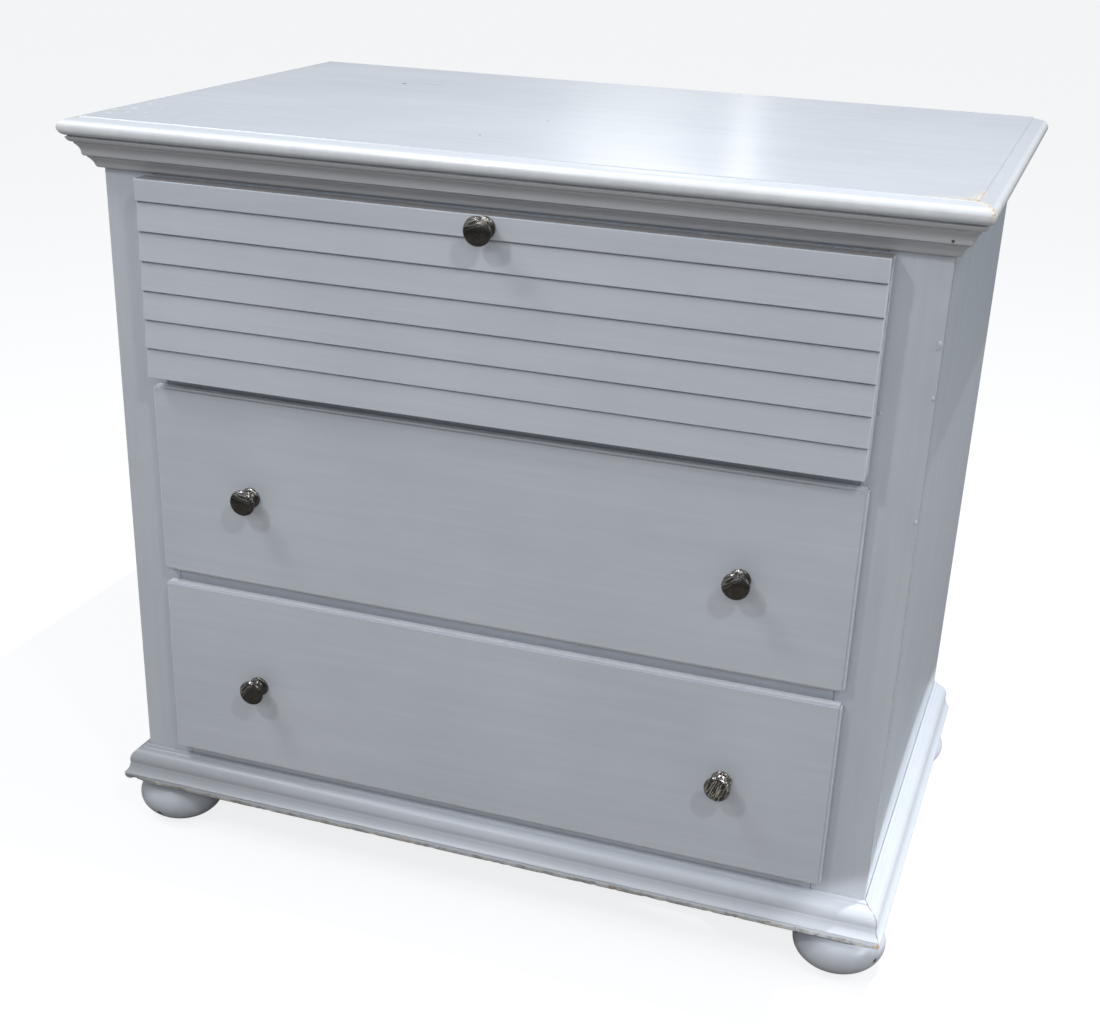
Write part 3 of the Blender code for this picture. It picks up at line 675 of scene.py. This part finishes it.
def broken_mitre(point):
    """1.3 at the middle of a broken place, 0 outside them all."""
    most = 0.0
    for out, height, radius in MITRE_CHIPS:
        middle = Vector((SIDE + out, FRONT - out, BASE_LOW + height))
        most = max(most, 1.3 - 1.3 * (point - middle).length / radius)
    return most


def base_wear(point):
    """Bare wood at the open mitre, the nibbled lip and the left corner."""
    height = point.z - BASE_LOW
    lip = step(projection(point), 21 * MM, 24 * MM) * step(height, 9.5 * MM, 6 * MM)
    ragged = noise.noise(point * 150) * 0.5 + 0.5
    mitre = near(point.x - SIDE, FRONT - point.y, 2.2 * MM) * step(height, 30 * MM, 12 * MM)
    left_corner = near(point.x, -SIDE - 24 * MM, 15 * MM) * step(height, 14 * MM, 5 * MM)
    return max(lip * (0.28 + 0.50 * ragged), 0.75 * mitre, broken_mitre(point), 0.8 * left_corner)


def base_crack_and_lip(point):
    """Dark soiling in the open mitre at the right, and a darker band along the underside of the base
    lip.
    """
    crack = 1.3 * step(off_right_mitre(point), 1.5 * MM, 0.3 * MM)
    crack *= 1 - min(1.0, 1.2 * broken_mitre(point))
    lip = step(projection(point), 22 * MM, 24 * MM)
    lip *= step(point.z - BASE_LOW, 9 * MM, 6.5 * MM) * (0.55 + 0.35 * noise.noise(point * 60))
    return max(crack, lip)


def left_painted_shade(point):
    """Painted shade: the base's paint is darker towards the left."""
    return 0.5 * step(point.x, 0.0, -0.42)


def base_marks(side):
    """Rules for the marks on the base's front (0), left (-1) or right (1) length."""
    marks = {"wear": base_wear, "grime_and_shade": base_crack_and_lip}
    # Painted shade on the front and left lengths, darker towards the left.
    if side <= 0:
        marks["painted_shade"] = left_painted_shade
    return marks


# Drips in the paint of the right stile: (distance in from its outer edge, height, size).
DRIPS = ((3.0 * MM, 729.0 * MM, 3.0 * MM), (4.5 * MM, 725.5 * MM, 2.0 * MM),
         (2.2 * MM, 676.5 * MM, 1.9 * MM), (2.6 * MM, 550.5 * MM, 2.2 * MM),
         (50.1 * MM, 656.1 * MM, 1.6 * MM))


def painted_stile(word):
    """Front post; the right one has drips of paint along its outer edge."""
    stile = rounded_block(*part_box(f"stile_{word}"), SOFT_EDGE, 3)
    for inward, z, size in DRIPS if word == "right" else ():
        place = Matrix.Translation((SIDE - inward, FRONT + 0.3 * MM, z))
        drip = place @ Matrix.Diagonal((0.9, 0.7, 1.5, 1))
        bmesh.ops.create_icosphere(stile, subdivisions=3, radius=size, matrix=drip)
    return stile


def side_board(word):
    """Side with a rabbet along its back edge for the back panel."""
    lowest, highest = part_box(f"side_{word}")
    side = 1 if word == "right" else -1
    inner = SIDE - (highest.x - lowest.x)
    rabbet_x = inner + 8 * MM
    rabbet_y = BACK - 6.6 * MM
    outline = rounded([(SIDE, lowest.y), (SIDE, BACK), (rabbet_x, BACK), (rabbet_x, rabbet_y),
                       (inner, rabbet_y), (inner, lowest.y)], 0.8 * MM)
    return skin([[(side * x, y, z) for x, y in outline] for z in (lowest.z, highest.z)])


def build_frame():
    """Stiles, rails, sides, liners and panels; the runners keep their CAD shapes."""
    for node in ("rail_top", "rail_upper", "rail_middle", "rail_bottom", "compartment_floor"):
        stand_in(node, rounded_block(*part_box(node), 0.35 * MM, 2), "x")
    for word in ("left", "right"):
        stand_in(f"stile_{word}", painted_stile(word), "z")
        stand_in(f"liner_{word}", rounded_block(*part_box(f"liner_{word}"), SOFT_EDGE, 2), "y")
        stand_in(f"side_{word}", side_board(word), "side")
        for level in ("upper", "lower"):
            materials = NODES[f"runner_{level}_{word}"].data.materials
            materials.clear()
            materials.append(LOOKS["hard"])
    stand_in("back_panel", rounded_block(*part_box("back_panel"), 0.4 * MM, 2), "ply_z")
    stand_in("bottom_panel", rounded_block(*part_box("bottom_panel"), 0.6 * MM, 2), "ply")


def build_foot(node):
    """Turned bun foot, slightly uneven under its paint."""
    lowest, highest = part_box(node)
    radius = (highest.x - lowest.x) / 2
    middle = 31.6 * MM
    half_height = 33.8 * MM
    start = math.asin((lowest.z - middle) / half_height)
    end = math.asin((highest.z - middle) / half_height)
    steps = 30
    profile = [(0, lowest.z)]
    for k in range(steps + 1):
        angle = start + (end - start) * k / steps
        profile.append((radius * math.cos(angle), middle + half_height * math.sin(angle)))
    profile.append((0, highest.z))
    shape = lathe(profile, 96)
    centre = Vector(((lowest.x + highest.x) / 2, (lowest.y + highest.y) / 2, 0))
    for vert in shape.verts:
        sink = 0.5 + 0.5 * noise.noise(vert.co / 0.02 + centre * 40)
        vert.co.x *= 1 - 0.006 * sink
        vert.co.y *= 1 - 0.006 * sink
        vert.co += centre
    stand_in(node, shape, "foot", sharp=50)


def build_carcass():
    """Everything fixed: top, mouldings, frame and feet."""
    build_top()
    build_moulding("crown", crown_edge(), "crown")
    build_moulding("base_moulding", base_edge(), "trim", lip_chip, base_marks)
    build_frame()
    for end in ("front", "rear"):
        for word in ("left", "right"):
            build_foot(f"foot_{end}_{word}")


# ---- fronts --------------------------------------------------------------
# The flap's louvres: number, pitch, height of the top slat's lip, and the groove under a lip.
SLATS = 7
SLAT_PITCH = 31.8 * MM
TOP_LIP = 786.7 * MM
GROOVE_DEPTH = 4.6 * MM
SLAT_TUCK = 3.0 * MM
# The painted shade on the flap's top edge, in the gap under the crown, starts this far in from its
# faces.
TOP_SHADE_IN = 3 * MM


def flap_outline(front, back, low_z, top_z):
    """Section (y, z) of the flap: each slat starts tucked under the lip of the one above."""
    points = [(back, low_z), (back, top_z), (back - TOP_SHADE_IN, top_z)]
    points += [(front + TOP_SHADE_IN, top_z), (front, top_z)]
    for slat in range(SLATS - 1):
        lip = TOP_LIP - slat * SLAT_PITCH
        points += [(front, lip), (front + GROOVE_DEPTH, lip + 0.3 * MM)]
        points += [(front + GROOVE_DEPTH, lip - 1.1 * MM), (front + SLAT_TUCK, lip - 1.7 * MM)]
    return rounded(points + [(front, low_z)], 0.85 * MM, 4)


def flap_stations(low_x, high_x):
    """Places (x, shrink) along the flap; the section shrinks at both ends to round them."""
    end_round = 1.4 * MM
    end_steps = 4
    turns = [math.pi / 2 * k / end_steps for k in range(end_steps + 1)]
    ends = [(end_round * (1 - math.cos(a)), end_round * (1 - math.sin(a))) for a in turns]
    stations = [(low_x + across, shrink) for across, shrink in ends]
    stations += [(low_x + (high_x - low_x) * t, 0.0) for t in spread(90)[2:-2]]
    return stations + [(high_x - across, shrink) for across, shrink in reversed(ends)]


def build_flap():
    """Louvred panel, with a painted highlight (paler paint) at its ends and painted shade (dark
    paint) along its top edge, in the gap under the crown.
    """
    lowest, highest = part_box("flap_panel")
    front = lowest.y
    back = highest.y
    top_z = highest.z - 1.6 * MM
    outline = flap_outline(front, back, lowest.z, top_z)
    rings = []
    for x, shrink in flap_stations(lowest.x, highest.x):
        ring = []
        for y, z in outline:
            wave = hand_wave((x, z, 0.3), 0.06, 0.10 * MM)
            depth = y + abs(wave) if y < front + TOP_SHADE_IN else y
            inward = shrink if depth < (front + back) / 2 else -shrink
            ring.append((x, depth + inward, min(max(z, lowest.z + shrink), highest.z - shrink)))
        rings.append(ring)

    # Painted shade: dark paint on the top edge, in the gap under the crown where shade falls.
    def top_gap_shade(point):
        inside = front + 2 * MM < point.y < back - 2 * MM
        return 1.3 if inside and point.z > top_z - 1 * MM else 0.0

    # Painted highlight: paler paint on the flap's ends.
    def end_highlight(point):
        return 0.7 * step(highest.x - abs(point.x), 1.3 * MM, 0.2 * MM)

    shape = skin(rings)
    set_mark(shape, top_gap_shade, "grime_and_shade")
    set_mark(shape, end_highlight, "edge")
    stand_in("flap_panel", shape, "x", sharp=34)


def build_drawer(level):
    """Overlay front with rounded edges on a tongue, and a box of pine and ply behind it."""
    name = f"drawer_{level}"
    lowest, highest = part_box(f"{name}_front")
    round_over = 2.6 * MM
    plate = 14 * MM
    face = rounded_block(lowest, (highest.x, lowest.y + plate, highest.z), round_over, 6)
    tongue_in = 14.6 * MM
    tongue_up = 12 * MM
    tongue_down = 14 * MM
    sunk = 3 * MM
    tongue = rounded_block((lowest.x + tongue_in, lowest.y + plate - sunk, lowest.z + tongue_up),
                           (highest.x - tongue_in, highest.y, highest.z - tongue_down), 0.8 * MM, 2)
    spare = bpy.data.meshes.new("spare")
    tongue.to_mesh(spare)
    tongue.free()
    face.from_mesh(spare)
    bpy.data.meshes.remove(spare)

    # Painted highlight: paler paint on the rounded edges of the front.
    def rim(point):
        inside = min(point.x - lowest.x, highest.x - point.x, point.z - lowest.z, highest.z - point.z)
        return 0.80 * step(inside, round_over * 0.9, 0.0)

    set_mark(face, rim, "edge")
    stand_in(f"{name}_front", face, "x")
    for part, look in (("side_left", "pine_y"), ("side_right", "pine_y"), ("back", "pine_x")):
        stand_in(f"{name}_{part}", rounded_block(*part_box(f"{name}_{part}"), SOFT_EDGE, 3), look)
    stand_in(f"{name}_bottom", rounded_block(*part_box(f"{name}_bottom"), 0.4 * MM, 2), "ply")


def knob_profile(reach, radius, foot_radius):
    """Mushroom knob: foot disc, waisted neck, undercut head with a crisp shallow dome."""
    points = [(0, 0), (foot_radius - 0.5 * MM, 0), (foot_radius, 0.6 * MM), (foot_radius, 2.1 * MM)]
    points += [(foot_radius - 1.3 * MM, 3.1 * MM), (8.0 * MM, 4.1 * MM), (6.3 * MM, 6.0 * MM)]
    points += [(5.5 * MM, 8.4 * MM), (5.7 * MM, 11.2 * MM), (7.0 * MM, 13.8 * MM)]
    points += [(9.8 * MM, 16.0 * MM), (13.4 * MM, 17.7 * MM), (radius, 19.6 * MM)]
    points += [(radius - 0.1 * MM, 20.9 * MM), (radius - 1.0 * MM, 22.2 * MM)]
    dome_start = radius - 1.6 * MM
    for k in range(11):
        share = 1 - k / 10
        points.append((dome_start * share, reach - 3.2 * MM * share ** 2))
    return rounded(points, 0.8 * MM, 3, closed=False)


# How far each knob is turned, which turns its brush marks, in degrees.
KNOB_TURNS = {"flap_knob": 22, "drawer_upper_knob_left": -12, "drawer_upper_knob_right": 38,
              "drawer_lower_knob_left": 50, "drawer_lower_knob_right": 68}


def build_knob(node, turn):
    """Knob on the front; its own Z points out of the front."""
    lowest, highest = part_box(node)
    reach = highest.y - lowest.y
    radius = (highest.x - lowest.x) / 2
    place = Matrix.Translation(((lowest.x + highest.x) / 2, highest.y, (lowest.z + highest.z) / 2))
    facing = Matrix.Rotation(math.radians(90), 4, "X") @ Matrix.Rotation(math.radians(turn), 4, "Z")
    foot_radius = 11.6 * MM
    shape = lathe(knob_profile(reach, radius, foot_radius), 72)
    look = "pewter_scratched" if node == "drawer_lower_knob_right" else "pewter"
    stand_in(node, shape, look, place @ facing, sharp=50)


def build_hardware():
    """Hinges, stay, catch and screws keep their CAD shapes, in steel."""
    for node, thing in NODES.items():
        if thing.hide_render:
            continue
        if any(word in node for word in ("hinge", "stay", "catch", "screw")):
            thing.data.materials.clear()
            thing.data.materials.append(LOOKS["steel"])
            soften = thing.modifiers.new("soft_edges", "BEVEL")
            soften.width = 0.2 * MM
            soften.segments = 2


# ---- stage ---------------------------------------------------------------
FLOOR_RADIUS = 90
# The floor's own colour, the darker one that the camera sees, and the glow that is added to that.
FLOOR_COLOUR = (0.27, 0.255, 0.24, 1)
FLOOR_SEEN = (0.22, 0.22, 0.22, 1)
FLOOR_GLOW = (0.95, 0.96, 0.97, 1)
FLOOR_GLOW_STRENGTH = 0.86
ROOM_COLOUR = (0.93, 0.96, 1.0, 1)
ROOM_LIGHT = 0.34
ROOM_SEEN = 0.98

WHITE = (1, 1, 1)
CHEST = (0, FRONT, 0.45)
# Area lights: name, aim, direction, distance, (width, height), watts, tint.
LAMPS = (
    ("lamp_right", CHEST, (0.48, -0.49, 0.73), 3.4, (0.22, 0.22), 17, WHITE),
    ("lamp_left", CHEST, (-0.33, -0.61, 0.72), 3.4, (0.22, 0.22), 17, WHITE),
    ("lamp_far_left", CHEST, (-0.53, -0.28, 0.80), 3.2, (0.6, 0.6), 20, WHITE),
    ("panel_front", CHEST, (0.15, -0.80, 0.50), 3.4, (2.6, 0.22), 14, WHITE),
    ("lamp_above", (0.484, -0.25, 0.866), (0.13, 0.10, 1.0), 2.7, (0.02, 0.02), 56, WHITE),
    ("window_behind", (0.24, 0.05, 0.866), (-0.30, 0.83, 0.36), 3.2, (0.35, 0.7), 3.8, WHITE),
    ("window_gap", (0.22, -0.08, 0.866), (-0.206, 0.90, 0.26), 3.2, (0.045, 0.7), 0.40, WHITE),
    ("room_right", (0.45, 0.05, 0.45), (1.0, -0.05, 0.45), 2.8, (1.2, 1.2), 17, (0.9, 0.96, 1)),
)
BEAM_PLACE = (2.4, -1.1, 0.75)
BEAM_AIM = (0.458, 0.040, 0.076)
BEAM_WATTS = 155
BEAM_ROLL = 7
# The beam is this many times wider than it is high.
BEAM_WIDE = 4.1

CAMERA_PLACE = (0.5907, FRONT - 1.5435, 1.1324)
CAMERA_TURN = (64.606, -1.895, 19.704)
CAMERA_LENS = 53.72
CAMERA_SHIFT = (0.0069, 0.1052)


def build_floor():
    """Pale floor that looks nearly white but throws back little light."""
    shape = bmesh.new()
    bmesh.ops.create_circle(shape, cap_ends=True, segments=96, radius=FLOOR_RADIUS)
    mesh = bpy.data.meshes.new("floor")
    shape.to_mesh(mesh)
    shape.free()
    floor = bpy.data.objects.new("floor", mesh)
    bpy.context.scene.collection.objects.link(floor)
    g = Graph("pale_floor")
    seen = g.add("LightPath").outputs["Is Camera Ray"]
    colour = g.mix(seen, FLOOR_COLOUR, FLOOR_SEEN)
    g.shader.inputs["Emission Color"].default_value = FLOOR_GLOW
    g.connect(g.shader.inputs["Emission Strength"], g.math("MULTIPLY", seen, FLOOR_GLOW_STRENGTH))
    mesh.materials.append(g.finish(colour, 0.9, Specular_IOR_Level=0.1))


def build_lamp(name, aim, direction, distance, size, power, tint):
    """An area light (width, height) at a distance along a direction, facing its aim."""
    data = bpy.data.lights.new(name, "AREA")
    data.shape = "RECTANGLE"
    data.size, data.size_y = size
    data.energy = power
    data.color = tint
    lamp = bpy.data.objects.new(name, data)
    toward = Vector(direction).normalized()
    lamp.location = Vector(aim) + toward * distance
    lamp.rotation_euler = toward.to_track_quat("Z", "Y").to_euler()
    bpy.context.scene.collection.objects.link(lamp)


def build_beam():
    """Hard low beam across the right end of the base."""
    data = bpy.data.lights.new("beam_low_right", "SPOT")
    data.energy = BEAM_WATTS
    data.spot_size = math.radians(4.2)
    data.spot_blend = 0.12
    data.shadow_soft_size = 0.01
    beam = bpy.data.objects.new("beam_low_right", data)
    beam.location = BEAM_PLACE
    facing = (Vector(BEAM_PLACE) - Vector(BEAM_AIM)).to_track_quat("Z", "Y").to_matrix()
    beam.rotation_euler = (facing @ Matrix.Rotation(math.radians(BEAM_ROLL), 3, "Z")).to_euler()
    beam.scale = (BEAM_WIDE, 1, 1)
    bpy.context.scene.collection.objects.link(beam)


def build_room():
    """Soft light from all round, nearly white where the camera sees it."""
    world = bpy.data.worlds.new("soft_room")
    world.use_nodes = True
    nodes = world.node_tree.nodes
    room = nodes["Background"]
    room.inputs["Color"].default_value = ROOM_COLOUR
    strength = nodes.new("ShaderNodeMapRange")
    strength.inputs["To Min"].default_value = ROOM_LIGHT
    strength.inputs["To Max"].default_value = ROOM_SEEN
    seen = nodes.new("ShaderNodeLightPath").outputs["Is Camera Ray"]
    world.node_tree.links.new(seen, strength.inputs["Value"])
    world.node_tree.links.new(strength.outputs["Result"], room.inputs["Strength"])
    bpy.context.scene.world = world
    bpy.context.scene.view_settings.view_transform = "Standard"


def build_camera():
    """Standing eye level, a little right of the chest and looking down at it."""
    data = bpy.data.cameras.new("camera")
    data.lens = CAMERA_LENS
    data.shift_x, data.shift_y = CAMERA_SHIFT
    data.sensor_width = 36
    data.clip_end = 300
    camera = bpy.data.objects.new("camera", data)
    camera.location = CAMERA_PLACE
    camera.rotation_euler = Euler([math.radians(angle) for angle in CAMERA_TURN], "XYZ")
    bpy.context.scene.collection.objects.link(camera)
    bpy.context.scene.camera = camera


build_carcass()
build_flap()
for drawer_level in ("upper", "lower"):
    build_drawer(drawer_level)
for knob_node, knob_turn in KNOB_TURNS.items():
    build_knob(knob_node, knob_turn)
build_hardware()
build_floor()
for lamp_settings in LAMPS:
    build_lamp(*lamp_settings)
build_beam()
build_room()
build_camera()

bpy.context.view_layer.update()
